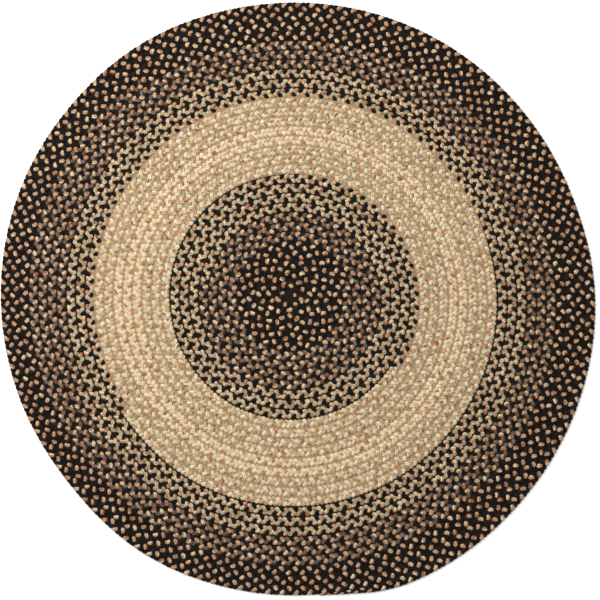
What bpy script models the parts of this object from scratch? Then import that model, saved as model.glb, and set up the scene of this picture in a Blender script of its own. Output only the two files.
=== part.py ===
"""Round braided rug, lying flat.

One flat braid is coiled clockwise from the middle and laced edge to edge, and its outer end tapers off
against the round inside it. The rug is one solid: its outline is the outer edge of the last round, its
rim is half round like the side of the braid, and its two faces are flat. Metres, +Z up, underside at Z 0.
"""
import math
from collections import namedtuple

import bmesh
import bpy
from mathutils import Vector

# Driving dimensions.
RUG_WIDTH = 1.83  # a six foot round rug, mean width over the braid
THICKNESS = 0.011  # two layers of flattened strand
ROUNDS = 31.5  # from the middle of the coil to the tip of its outer end
TIP_ANGLE = math.radians(275)  # where the outer end stops, counter-clockwise from +X
TAPER = math.radians(17)  # the stretch over which the outer end narrows to nothing

# A laced rug is never a true circle. Each row says how far the outermost round stands out from an even
# spiral in one direction. The rows are 20 degrees apart, and the first one faces +X.
Swell = namedtuple("Swell", "toward_deg out_mm")
SWELLS = (
    Swell(0, 10),
    Swell(20, -3),
    Swell(40, -5),
    Swell(60, -4),
    Swell(80, -5),
    Swell(100, -6),
    Swell(120, -3),
    Swell(140, -9),
    Swell(160, -10),
    Swell(180, -13),
    Swell(200, -15),
    Swell(220, -14),
    Swell(240, 5),
    Swell(260, 11),
    Swell(280, 16),
    Swell(300, 20),
    Swell(320, 16),
    Swell(340, 14),
)

# How finely the solid is faceted.
OUTLINE_POINTS = 180
RIM_STEPS = 6

BRAID_WIDTH = RUG_WIDTH / 2 / (ROUNDS - 0.5)
MILLIMETRE = 0.001


def swell(angle):
    """How far the outermost round stands out at an angle, on a smooth curve through the rows."""
    step = math.tau / len(SWELLS)
    row, along = divmod(angle % math.tau / step, 1)
    before, start, end, after = (SWELLS[(int(row) + k) % len(SWELLS)].out_mm for k in (-1, 0, 1, 2))
    start_slope = (end - before) / 2
    end_slope = (after - start) / 2
    curve = (
        (2 * along**3 - 3 * along**2 + 1) * start
        + (along**3 - 2 * along**2 + along) * start_slope
        + (3 * along**2 - 2 * along**3) * end
        + (along**3 - along**2) * end_slope
    )
    return curve * MILLIMETRE


def outline_radius(angle):
    """The rug's outer edge: the outermost round, which loses one braid width in each turn inward."""
    back_from_tip = (angle - TIP_ANGLE) % math.tau
    rounds = ROUNDS - back_from_tip / math.tau
    if back_from_tip < TAPER:
        share = back_from_tip / TAPER
        rounds -= 1 - share * share * (3 - 2 * share)
    return BRAID_WIDTH * rounds + swell(angle)


def outline():
    """Points on the outer edge, around the coil's middle."""
    points = []
    for i in range(OUTLINE_POINTS):
        angle = TIP_ANGLE + math.tau * i / OUTLINE_POINTS
        radius = outline_radius(angle)
        points.append(Vector((radius * math.cos(angle), radius * math.sin(angle))))
    return points


def box_middle(points):
    """The middle of the outline's box, which the part's origin lies under."""
    xs = [p.x for p in points]
    ys = [p.y for p in points]
    return Vector(((min(xs) + max(xs)) / 2, (min(ys) + max(ys)) / 2))


def rim_profile():
    """The half round rim from the underside to the top: (how far in from the edge, height)."""
    half = THICKNESS / 2
    turns = [math.pi * k / RIM_STEPS for k in range(RIM_STEPS + 1)]
    return [(half * (1 - math.sin(turn)), half * (1 - math.cos(turn))) for turn in turns]


def rug_mesh():
    """The solid as rings of points up its rim, closed by a flat underside and a flat top."""
    edge = outline()
    origin = box_middle(edge)
    bm = bmesh.new()
    rings = []
    for inward, height in rim_profile():
        ring = []
        for point in edge:
            place = point - point.normalized() * inward - origin
            ring.append(bm.verts.new((place.x, place.y, height)))
        rings.append(ring)
    for lower, upper in zip(rings, rings[1:]):
        for i in range(OUTLINE_POINTS):
            j = (i + 1) % OUTLINE_POINTS
            bm.faces.new((lower[i], lower[j], upper[j], upper[i]))
    bm.faces.new(reversed(rings[0]))
    bm.faces.new(rings[-1])
    mesh = bpy.data.meshes.new("braided_rug")
    bm.to_mesh(mesh)
    bm.free()
    mesh.shade_smooth()
    mesh.set_sharp_from_angle(angle=math.radians(40))
    return mesh


def braided_yarn():
    """The mixed dark and light yarns of the braid, as one mean colour."""
    material = bpy.data.materials.new("braided_yarn")
    material.use_nodes = True
    shader = material.node_tree.nodes["Principled BSDF"]
    shader.inputs["Base Color"].default_value = (0.19, 0.14, 0.09, 1)
    shader.inputs["Roughness"].default_value = 0.95
    shader.inputs["Metallic"].default_value = 0.0
    return material


for old in list(bpy.data.objects):
    bpy.data.objects.remove(old)

rug = bpy.data.objects.new("braided_rug", rug_mesh())
rug.data.materials.append(braided_yarn())
bpy.context.scene.collection.objects.link(rug)
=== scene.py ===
import math
from collections import namedtuple

import bpy
import numpy as np
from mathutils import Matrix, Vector


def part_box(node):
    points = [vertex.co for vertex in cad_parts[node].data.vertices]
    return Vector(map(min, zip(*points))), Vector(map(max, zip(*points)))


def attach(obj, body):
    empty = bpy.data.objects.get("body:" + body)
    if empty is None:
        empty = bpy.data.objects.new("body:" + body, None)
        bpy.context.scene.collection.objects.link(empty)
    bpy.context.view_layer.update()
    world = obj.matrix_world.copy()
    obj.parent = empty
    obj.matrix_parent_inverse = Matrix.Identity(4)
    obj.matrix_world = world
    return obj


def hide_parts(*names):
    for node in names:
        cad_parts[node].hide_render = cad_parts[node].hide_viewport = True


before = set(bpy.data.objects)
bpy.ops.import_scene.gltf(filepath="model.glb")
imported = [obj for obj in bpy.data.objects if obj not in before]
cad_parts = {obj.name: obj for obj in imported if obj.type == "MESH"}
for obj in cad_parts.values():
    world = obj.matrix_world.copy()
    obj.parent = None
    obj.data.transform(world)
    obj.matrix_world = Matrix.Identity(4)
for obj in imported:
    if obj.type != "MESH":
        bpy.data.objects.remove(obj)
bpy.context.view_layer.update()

# ---------------------------------------------------------------------------------------------------
# The coil. The whole rug is one flat three-strand braid, wound clockwise from the middle and laced edge
# to edge, so a place on it is a number of rounds from the middle and a direction. It is never a true
# circle: each row says how far the outermost round stands out from an even spiral in one direction.
# ---------------------------------------------------------------------------------------------------
RUG_WIDTH = 1.83
ROUNDS = 31.5
TIP_ANGLE = math.radians(275)
TAPER = math.radians(17)
MILLIMETRE = 0.001

Swell = namedtuple("Swell", "toward_deg out_mm")
SWELLS = (
    Swell(0, 10),
    Swell(20, -3),
    Swell(40, -5),
    Swell(60, -4),
    Swell(80, -5),
    Swell(100, -6),
    Swell(120, -3),
    Swell(140, -9),
    Swell(160, -10),
    Swell(180, -13),
    Swell(200, -15),
    Swell(220, -14),
    Swell(240, 5),
    Swell(260, 11),
    Swell(280, 16),
    Swell(300, 20),
    Swell(320, 16),
    Swell(340, 14),
)

rug_low, rug_high = (Vector(corner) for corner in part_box("braided_rug"))
rug_height = rug_high.z - rug_low.z
braid_width = RUG_WIDTH / 2 / (ROUNDS - 0.5)
swell_mm = np.array([row.out_mm for row in SWELLS], float)


def swell(angle):
    """How far the outermost round stands out at each angle, on a smooth curve through the rows."""
    place = np.mod(angle, math.tau) / (math.tau / len(SWELLS))
    row = np.floor(place).astype(int)
    along = place - row
    before, start, end, after = (swell_mm[(row + k) % len(SWELLS)] for k in (-1, 0, 1, 2))
    curve = (
        (2 * along**3 - 3 * along**2 + 1) * start
        + (along**3 - 2 * along**2 + along) * (end - before) / 2
        + (3 * along**2 - 2 * along**3) * end
        + (along**3 - along**2) * (after - start) / 2
    )
    return curve * MILLIMETRE


def radius_at(rounds, angle):
    """Distance from the coil's middle. The unevenness dies away towards the middle."""
    return braid_width * rounds + swell(angle) * (np.maximum(rounds, 0) / ROUNDS) ** 2


def width_share(back_from_tip):
    """How full the braid is near its outer end, where it narrows to nothing."""
    share = np.clip(back_from_tip / TAPER, 0, 1)
    return share * share * (3 - 2 * share)


edge_back = np.linspace(0, math.tau, 721)[:-1]
edge_angle = TIP_ANGLE + edge_back
edge_rounds = ROUNDS - edge_back / math.tau - 1 + width_share(edge_back)
edge_radius = braid_width * edge_rounds + swell(edge_angle)
edge_x = edge_radius * np.cos(edge_angle)
edge_y = edge_radius * np.sin(edge_angle)
coil_middle = (
    (rug_low.x + rug_high.x - edge_x.min() - edge_x.max()) / 2,
    (rug_low.y + rug_high.y - edge_y.min() - edge_y.max()) / 2,
)

# ---------------------------------------------------------------------------------------------------
# The braid's run. Its centreline is walked once from the middle to the tip, which gives its length, and
# one full crossing cycle of a strand takes a little under 43 mm of it. A hand keeps an uneven pace, so
# the crossings drift a little ahead and behind.
# ---------------------------------------------------------------------------------------------------
CYCLE = 0.0428
FIRST_ROUND = 0.55
RINGS_PER_CYCLE = 12
PACE_DRIFT = 0.35
PACE_LENGTH = 0.35
WALK_STEPS = 24000
DRIFT_SIZE = 0.6

last_round = ROUNDS - 0.5
walk = np.linspace(FIRST_ROUND, last_round, WALK_STEPS)
walk_angle = TIP_ANGLE + math.tau * (last_round - walk)
walk_radius = radius_at(walk, walk_angle)
step_length = np.hypot(np.diff(walk_radius), walk_radius[1:] * np.abs(np.diff(walk_angle)))
walk_length = np.concatenate([[0], np.cumsum(step_length)])
braid_length = walk_length[-1]


def drift(length, grain, seed):
    """A smooth random wander of about one unit either way, with a new value every grain metres."""
    knots = np.random.default_rng(seed).normal(0, DRIFT_SIZE, int(braid_length / grain) + 4)
    place = np.clip(length / grain, 0, len(knots) - 3)
    row = np.floor(place).astype(int)
    blend = place - row
    blend = blend * blend * (3 - 2 * blend)
    return knots[row] * (1 - blend) + knots[row + 1] * blend


walk_turn = math.tau * walk_length / CYCLE + PACE_DRIFT * drift(walk_length, PACE_LENGTH, 3)
walk_turn = np.maximum.accumulate(walk_turn)
ring_turn = np.arange(0, int(walk_turn[-1] / math.tau * RINGS_PER_CYCLE)) * math.tau / RINGS_PER_CYCLE
ring_length = np.interp(ring_turn, walk_turn, walk_length)
ring_round = np.interp(ring_length, walk_length, walk)
ring_angle = TIP_ANGLE + math.tau * (last_round - ring_round)
ring_middle = radius_at(ring_round, ring_angle)

# ---------------------------------------------------------------------------------------------------
# A strand. It is a soft bundle of spun yarns, about 12 mm wide and 6 mm thick, flattened by the
# plaiting. It runs from edge to edge of the braid, over one neighbour and under the other, and rolls
# over where it turns back at each edge. Both faces are cut off flat, to keep the rug's thickness.
# ---------------------------------------------------------------------------------------------------
STRANDS = 3
SIDES = 6
STRAND_HALF_WIDTH = 0.0062
STRAND_HALF_THICKNESS = 0.0029
EDGE_ROLL = math.radians(34)
START_SHARE = 0.45  # how full the strands are where the coil starts
START_ROUNDS = 0.12  # and how soon they reach their full size
TIP_SHARE = 0.12  # how far the strands still sway at the very tip
TIP_WIDTH = 0.3
TIP_THICKNESS = 0.35
EDGE_OVERLAP = 0.82  # how much of a strand's half width fits between its sway and the braid's edge
WIDTH_DRIFT = 0.05
WIDTH_GRAIN = 0.021
SWAY_DRIFT = 0.0004
SWAY_GRAIN = 0.03
TOP_SLACK = 0.0005

over_under = rug_height / 2 - STRAND_HALF_THICKNESS
sway = braid_width / 2 - EDGE_OVERLAP * STRAND_HALF_WIDTH


def strand_points(number):
    """Every ring of one strand, as an array of rings by sides by three."""
    turn = ring_turn + math.tau * number / STRANDS
    near_tip = width_share(math.tau * (last_round - ring_round))
    fullness = TIP_SHARE + (1 - TIP_SHARE) * near_tip
    start = np.clip((ring_round - FIRST_ROUND) / START_ROUNDS, 0, 1)
    fullness = fullness * (START_SHARE + (1 - START_SHARE) * start)
    loose = 1 + WIDTH_DRIFT * drift(ring_length, WIDTH_GRAIN, 20 + number)
    across = sway * np.sin(turn) * fullness + SWAY_DRIFT * drift(ring_length, SWAY_GRAIN, 30 + number)
    thickness_share = TIP_THICKNESS + (1 - TIP_THICKNESS) * fullness
    height = over_under * np.sin(2 * turn) * thickness_share
    tangent = np.stack(
        [
            np.full_like(turn, CYCLE / math.tau),
            sway * np.cos(turn) * fullness,
            2 * over_under * np.cos(2 * turn),
        ],
        axis=-1,
    )
    tangent /= np.linalg.norm(tangent, axis=-1, keepdims=True)
    sideways = np.cross((0, 0, 1), tangent)
    sideways /= np.linalg.norm(sideways, axis=-1, keepdims=True)
    upward = np.cross(tangent, sideways)
    roll = EDGE_ROLL * np.sin(turn) * np.abs(np.sin(turn)) ** 2
    wide = sideways * np.cos(roll)[:, None] - upward * np.sin(roll)[:, None]
    thick = sideways * np.sin(roll)[:, None] + upward * np.cos(roll)[:, None]
    half_width = STRAND_HALF_WIDTH * loose * (TIP_WIDTH + (1 - TIP_WIDTH) * fullness)
    half_thickness = STRAND_HALF_THICKNESS * thickness_share
    # Half a side's turn puts a corner above and a corner below, and an upright flat at each edge.
    around = math.tau * (np.arange(SIDES) + 0.5) / SIDES
    corner_out = np.cos(around) / np.cos(math.pi / SIDES)
    corner_up = np.sin(around) / np.sin(math.tau / SIDES)
    offset = (
        wide[:, None, :] * (half_width[:, None] * corner_out)[..., None]
        + thick[:, None, :] * (half_thickness[:, None] * corner_up)[..., None]
    )
    inner_shift = braid_width * (1 - near_tip) / 2
    rounds = ring_round[:, None] + (across[:, None] + offset[..., 1] - inner_shift[:, None]) / braid_width
    angle = ring_angle[:, None] - offset[..., 0] / ring_middle[:, None]
    reach = radius_at(rounds, angle)
    return np.stack(
        [
            coil_middle[0] + reach * np.cos(angle),
            coil_middle[1] + reach * np.sin(angle),
            np.clip(
                rug_low.z + rug_height / 2 + height[:, None] + offset[..., 2],
                rug_low.z,
                rug_high.z + TOP_SLACK,
            ),
        ],
        axis=-1,
    )


BAKE_MAP = "OFBake"
YARN_MAP = "yarn"
ROW_GAP = 0.5  # between the rows of the bake map, in sides of a strand
STRAND_PER_BRAID = 1.35  # a strand's own length for each metre of braid


def strand_mesh(name, points, first):
    """A closed tube through rings of points, with one map along its yarns and one for baking."""
    rings, sides = points.shape[:2]
    ring, side = np.meshgrid(np.arange(rings - 1), np.arange(sides), indexing="ij")
    ring, side = ring.ravel(), side.ravel()
    following = (side + 1) % sides
    quads = np.stack(
        [ring * sides + side, (ring + 1) * sides + side, (ring + 1) * sides + following,
         ring * sides + following],
        axis=-1,
    )[:, ::-1]
    caps = [list(range(sides)), list(range((rings - 1) * sides, rings * sides))[::-1]]
    mesh = bpy.data.meshes.new(name)
    mesh.from_pydata(points.reshape(-1, 3).tolist(), [], quads.tolist() + caps)
    rows = max(1, round(math.sqrt(len(quads)) / sides))
    per_row = math.ceil((rings - 1) / rows)
    column, row = ring % per_row, ring // per_row
    along = np.stack([column, column + 1, column + 1, column], axis=-1)[:, ::-1]
    around = np.stack([side, side, side + 1, side + 1], axis=-1)[:, ::-1]
    bake_u = along / per_row
    bake_v = (row[:, None] * (sides + ROW_GAP) + ROW_GAP / 2 + around) / (rows * (sides + ROW_GAP))
    ring_step = CYCLE / RINGS_PER_CYCLE * STRAND_PER_BRAID
    yarn_u = (first + ring[:, None] + (along - column[:, None])) * ring_step
    yarn_v = around / sides
    for layer_name, u, v in ((BAKE_MAP, bake_u, bake_v), (YARN_MAP, yarn_u, yarn_v)):
        layer = mesh.uv_layers.new(name=layer_name)
        flat = np.zeros((len(mesh.loops), 2), np.float32)
        flat[: u.size, 0] = u.ravel()
        flat[: v.size, 1] = v.ravel()
        layer.data.foreach_set("uv", flat.ravel())
    mesh.shade_smooth()
    mesh.validate()
    return mesh


# ---------------------------------------------------------------------------------------------------
# The yarns. They are spun yarns in a few dye lots. Some strands are one colour, and others hold
# yarns of several shades, dyed in patches along their length, which gives the rug its flecked look.
# ---------------------------------------------------------------------------------------------------
YARNS_SHOWN = 6
PATCH_LENGTH = 0.016
FIBRE_PITCH = 0.0012
FIBRES_AROUND = 30
FIBRE_RELIEF = 0.35
YARN_APART = 7.31  # how far apart two yarns of a strand read the colour patches
GROOVE_WIDTH = 0.22
# Painted shade: the share of the yarn colour left at the grooves between yarns.
GROOVE_PAINTED_SHADE = 0.35
ROUGHNESS = 0.92
SHINE = 0.12


def linear(hex_colour):
    """An sRGB hex colour as the linear colour a shader takes."""
    parts = [int(hex_colour[i : i + 2], 16) / 255 for i in (0, 2, 4)]
    return [p / 12.92 if p <= 0.04045 else ((p + 0.055) / 1.055) ** 2.4 for p in parts] + [1]


def add_node(tree, kind, settings=(), values=(), links=()):
    """Adds one node, with its settings, its sockets' values and the links into it."""
    node = tree.nodes.new(kind)
    for key, value in dict(settings).items():
        setattr(node, key, value)
    for key, value in dict(values).items():
        node.inputs[key].default_value = value
    for key, source in dict(links).items():
        tree.links.new(source, node.inputs[key])
    return node


def spun_yarn(name, colours):
    """Matte spun yarn. Each yarn of the strand takes its own run of the colours, in soft patches."""
    material = bpy.data.materials.new(name)
    material.use_nodes = True
    tree = material.node_tree
    shader = tree.nodes["Principled BSDF"]
    shader.inputs["Roughness"].default_value = ROUGHNESS
    shader.inputs["Specular IOR Level"].default_value = SHINE
    place = add_node(tree, "ShaderNodeUVMap", {"uv_map": YARN_MAP})
    parts = add_node(tree, "ShaderNodeSeparateXYZ", links={0: place.outputs["UV"]})
    around = add_node(tree, "ShaderNodeMath", {"operation": "MULTIPLY"}, {1: YARNS_SHOWN},
                      {0: parts.outputs["Y"]})
    which = add_node(tree, "ShaderNodeMath", {"operation": "FLOOR"}, links={0: around.outputs[0]})
    along = add_node(tree, "ShaderNodeMath", {"operation": "DIVIDE"}, {1: PATCH_LENGTH},
                     {0: parts.outputs["X"]})
    apart = add_node(tree, "ShaderNodeMath", {"operation": "MULTIPLY"}, {1: YARN_APART},
                     {0: which.outputs[0]})
    spot = add_node(tree, "ShaderNodeCombineXYZ",
                    links={"X": along.outputs[0], "Y": apart.outputs[0]})
    patches = add_node(tree, "ShaderNodeTexNoise", {"noise_dimensions": "2D"},
                       {"Scale": 1.0, "Detail": 1.0, "Roughness": 0.5}, {"Vector": spot.outputs[0]})
    ramp = add_node(tree, "ShaderNodeValToRGB", links={"Fac": patches.outputs["Fac"]})
    ramp.color_ramp.interpolation = "LINEAR"
    stops = ramp.color_ramp.elements
    while len(stops) < len(colours):
        stops.new(0.5)
    # The noise seldom leaves this middle part of its range.
    for k, colour in enumerate(colours):
        stops[k].position = 0.3 + 0.4 * k / max(1, len(colours) - 1)
        stops[k].color = linear(colour)
    # Painted shade: the base colour darkens towards the grooves between the yarns, where shade falls; the
    # same groove also shapes the bump.
    groove = add_node(tree, "ShaderNodeMath", {"operation": "PINGPONG"}, {1: 0.5},
                      {0: around.outputs[0]})
    groove_painted_shade = add_node(tree, "ShaderNodeMapRange", {"interpolation_type": "SMOOTHSTEP"},
                     {"From Min": 0.0, "From Max": GROOVE_WIDTH, "To Min": GROOVE_PAINTED_SHADE, "To Max": 1.0},
                     {"Value": groove.outputs[0]})
    colour_with_groove_shade = add_node(tree, "ShaderNodeMix", {"data_type": "RGBA", "blend_type": "MULTIPLY"},
                    {"Factor": 1.0}, {6: ramp.outputs["Color"], 7: groove_painted_shade.outputs["Result"]})
    tree.links.new(colour_with_groove_shade.outputs[2], shader.inputs["Base Color"])
    fibre_place = add_node(tree, "ShaderNodeVectorMath", {"operation": "MULTIPLY"},
                           {1: (1 / FIBRE_PITCH, FIBRES_AROUND, 1)}, {0: place.outputs["UV"]})
    fibres = add_node(tree, "ShaderNodeTexNoise", {"noise_dimensions": "2D"},
                      {"Scale": 0.4, "Detail": 2.0}, {"Vector": fibre_place.outputs[0]})
    relief = add_node(tree, "ShaderNodeMath", {"operation": "MULTIPLY_ADD"}, {1: FIBRE_RELIEF},
                      {0: fibres.outputs["Fac"], 2: groove.outputs[0]})
    bump = add_node(tree, "ShaderNodeBump", values={"Strength": 0.8, "Distance": 0.002},
                    links={"Height": relief.outputs[0]})
    tree.links.new(bump.outputs[0], shader.inputs["Normal"])
    return material


yarns = {
    "black": spun_yarn("black_spun_yarn", ("0d0b0a", "171413", "24201e")),
    "tan": spun_yarn("tan_space_dyed_yarn", ("8f5a40", "b08464", "bd9a76", "dcc39c")),
    "brown": spun_yarn("brown_heather_yarn", ("4d4037", "665649", "7c6b5c")),
    "sage": spun_yarn("sage_heather_yarn", ("8a8064", "ae9f80", "cdbd9c")),
    "cream": spun_yarn("cream_yarn", ("cdb692", "dac7a2", "e5d6b6")),
    "rust": spun_yarn("rust_space_dyed_yarn", ("935f44", "b98d68", "caa782", "dcc6a2")),
}

# ---------------------------------------------------------------------------------------------------
# The bands. The maker swaps one strand at a time for another dye lot, which is what shades the rug from
# its dark middle through cream to its dark border. Each row is a stretch of the braid, by the rounds from
# the middle where it ends, and what its three strands are.
# ---------------------------------------------------------------------------------------------------
Band = namedtuple("Band", "name ends_at first second third")
BANDS = (
    Band("dark_middle", 5.7, "black", "tan", "black"),
    Band("brown_inner", 9.3, "black", "tan", "brown"),
    Band("sage_inner", 12.86, "black", "tan", "sage"),
    Band("light_inner", 16.2, "cream", "rust", "sage"),
    Band("cream_ring", 18.3, "cream", "rust", "cream"),
    Band("light_outer", 21.17, "cream", "rust", "sage"),
    Band("sage_outer", 24.2, "black", "tan", "sage"),
    Band("brown_outer", 27.42, "black", "tan", "brown"),
    Band("dark_border", ROUNDS, "black", "tan", "black"),
)

strand_runs = [strand_points(number) for number in range(STRANDS)]
begins = 0
for band in BANDS:
    inside = np.nonzero(ring_round <= band.ends_at)[0]
    ends = inside[-1] + 1
    for number, lot in enumerate((band.first, band.second, band.third)):
        stop = min(ends + 1, len(ring_round))
        name = f"{band.name}_strand_{number + 1}"
        mesh = strand_mesh(name, strand_runs[number][begins:stop], begins)
        strand = bpy.data.objects.new(name, mesh)
        bpy.context.scene.collection.objects.link(strand)
        mesh.materials.append(yarns[lot])
        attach(strand, "root")
    begins = ends

# ---------------------------------------------------------------------------------------------------
# The inside of the braid. Between the strands one sees only the shaded sides of the yarns below, never
# the floor. A thin sheet at half height, out to the edge of the coil, stands for that packed yarn in
# shade,
# and its colour is painted shade: dark under the dark bands and a shaded tan under the light ones.
# ---------------------------------------------------------------------------------------------------
SHADE_SHEET_THICKNESS = 0.003
SHADE_SHEET_INSET = 0.007
SHADE_SHEET_STEP = 10  # one of so many outline points is enough under the strands
# Painted shade: the yarn colours as they look in the shade between the strands.
DARK_BAND_GAP_SHADE = "1a1512"
LIGHT_BAND_GAP_SHADE = "9a7f60"

inset_share = (edge_radius - SHADE_SHEET_INSET) / edge_radius
shade_sheet_edge = np.stack(
    [coil_middle[0] + edge_x * inset_share, coil_middle[1] + edge_y * inset_share], axis=-1
)[::SHADE_SHEET_STEP]
count = len(shade_sheet_edge)
shade_sheet_levels = [rug_height / 2 - SHADE_SHEET_THICKNESS / 2, rug_height / 2 + SHADE_SHEET_THICKNESS / 2]
corners = [(x, y, rug_low.z + z) for z in shade_sheet_levels for x, y in shade_sheet_edge]
walls = [(i, (i + 1) % count, count + (i + 1) % count, count + i) for i in range(count)]
faces = walls + [list(range(count))[::-1], list(range(count, 2 * count))]
# A sheet of painted shade, seen only in the gaps between the strands.
shade_sheet_mesh = bpy.data.meshes.new("painted_gap_shade")
shade_sheet_mesh.from_pydata(corners, [], faces)
shade_sheet = bpy.data.objects.new("painted_gap_shade", shade_sheet_mesh)
bpy.context.scene.collection.objects.link(shade_sheet)
# Painted shade: the sheet's base colour is set by distance from the middle, dark under the dark bands and
# shaded tan under the light ones.
shaded_yarn = spun_yarn("shaded_yarn", ("1a1512", "241d18", "2e2620"))
shaded = shaded_yarn.node_tree
ground = add_node(shaded, "ShaderNodeTexCoord")
from_middle = add_node(shaded, "ShaderNodeVectorMath", {"operation": "DISTANCE"},
                       {1: (coil_middle[0], coil_middle[1], rug_low.z + rug_height / 2)},
                       {0: ground.outputs["Object"]})
gap_shade_by_band = add_node(shaded, "ShaderNodeValToRGB", links={"Fac": from_middle.outputs["Value"]})
gap_shade_by_band.color_ramp.interpolation = "CONSTANT"
gap_shade_stops = gap_shade_by_band.color_ramp.elements
band_ends = {band.name: band.ends_at for band in BANDS}
gap_shade_stops[0].color = linear(DARK_BAND_GAP_SHADE)
gap_shade_stops[1].position = band_ends["sage_inner"] * braid_width
gap_shade_stops[1].color = linear(LIGHT_BAND_GAP_SHADE)
outer_gap_shade_stop = gap_shade_stops.new(band_ends["light_outer"] * braid_width)
outer_gap_shade_stop.color = linear(DARK_BAND_GAP_SHADE)
shaded.links.new(gap_shade_by_band.outputs["Color"], shaded.nodes["Principled BSDF"].inputs["Base Color"])
shade_sheet_mesh.materials.append(shaded_yarn)
yarn_layer = shade_sheet_mesh.uv_layers.new(name=YARN_MAP)
for loop in shade_sheet_mesh.loops:
    spot = shade_sheet_mesh.vertices[loop.vertex_index].co
    yarn_layer.data[loop.index].uv = (spot.x, spot.y)
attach(shade_sheet, "root")
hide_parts("braided_rug")

# ---------------------------------------------------------------------------------------------------
# The floor, the light and the camera. A white floor, broad soft light from above with a little more from
# one side, and a long lens straight above the rug.
# ---------------------------------------------------------------------------------------------------
FLOOR_SIZE = 40
FLOOR_GAP = 0.0005
FLOOR_ROUGHNESS = 0.9
ROOM_BRIGHTNESS = 0.75
SOFTBOX_SIZE = 2.5
SOFTBOX_WATTS = 140
SOFTBOX_PLACE = (-1.6, 1.6, 3.2)
LENS = 100
FRAME_WIDTH = 1.843
CAMERA_ASIDE = (0.006, -0.003)
FAR_CLIP = 200

floor_mesh = bpy.data.meshes.new("floor")
half = FLOOR_SIZE / 2
floor_level = rug_low.z - FLOOR_GAP
floor_mesh.from_pydata(
    [(-half, -half, floor_level), (half, -half, floor_level), (half, half, floor_level),
     (-half, half, floor_level)],
    [],
    [(0, 1, 2, 3)],
)
floor = bpy.data.objects.new("floor", floor_mesh)
bpy.context.scene.collection.objects.link(floor)
floor_paint = bpy.data.materials.new("white_floor")
floor_paint.use_nodes = True
floor_shader = floor_paint.node_tree.nodes["Principled BSDF"]
floor_shader.inputs["Base Color"].default_value = linear("f7f7f6")
floor_shader.inputs["Roughness"].default_value = FLOOR_ROUGHNESS
floor_mesh.materials.append(floor_paint)

world = bpy.data.worlds.new("soft_room")
world.use_nodes = True
background = world.node_tree.nodes["Background"]
background.inputs["Color"].default_value = (1, 1, 1, 1)
background.inputs["Strength"].default_value = ROOM_BRIGHTNESS
bpy.context.scene.world = world

key = bpy.data.lights.new("overhead_softbox", "AREA")
key.shape = "SQUARE"
key.size = SOFTBOX_SIZE
key.energy = SOFTBOX_WATTS
key_light = bpy.data.objects.new("overhead_softbox", key)
key_light.location = SOFTBOX_PLACE
key_light.rotation_euler = (-Vector(SOFTBOX_PLACE)).to_track_quat("-Z", "Y").to_euler()
bpy.context.scene.collection.objects.link(key_light)

camera_data = bpy.data.cameras.new("camera")
camera_data.lens = LENS
camera = bpy.data.objects.new("camera", camera_data)
distance = FRAME_WIDTH * LENS / camera_data.sensor_width
camera.location = (*CAMERA_ASIDE, rug_high.z + distance)
camera_data.clip_end = FAR_CLIP
bpy.context.scene.collection.objects.link(camera)
bpy.context.scene.camera = camera
bpy.context.scene.view_settings.view_transform = "Standard"
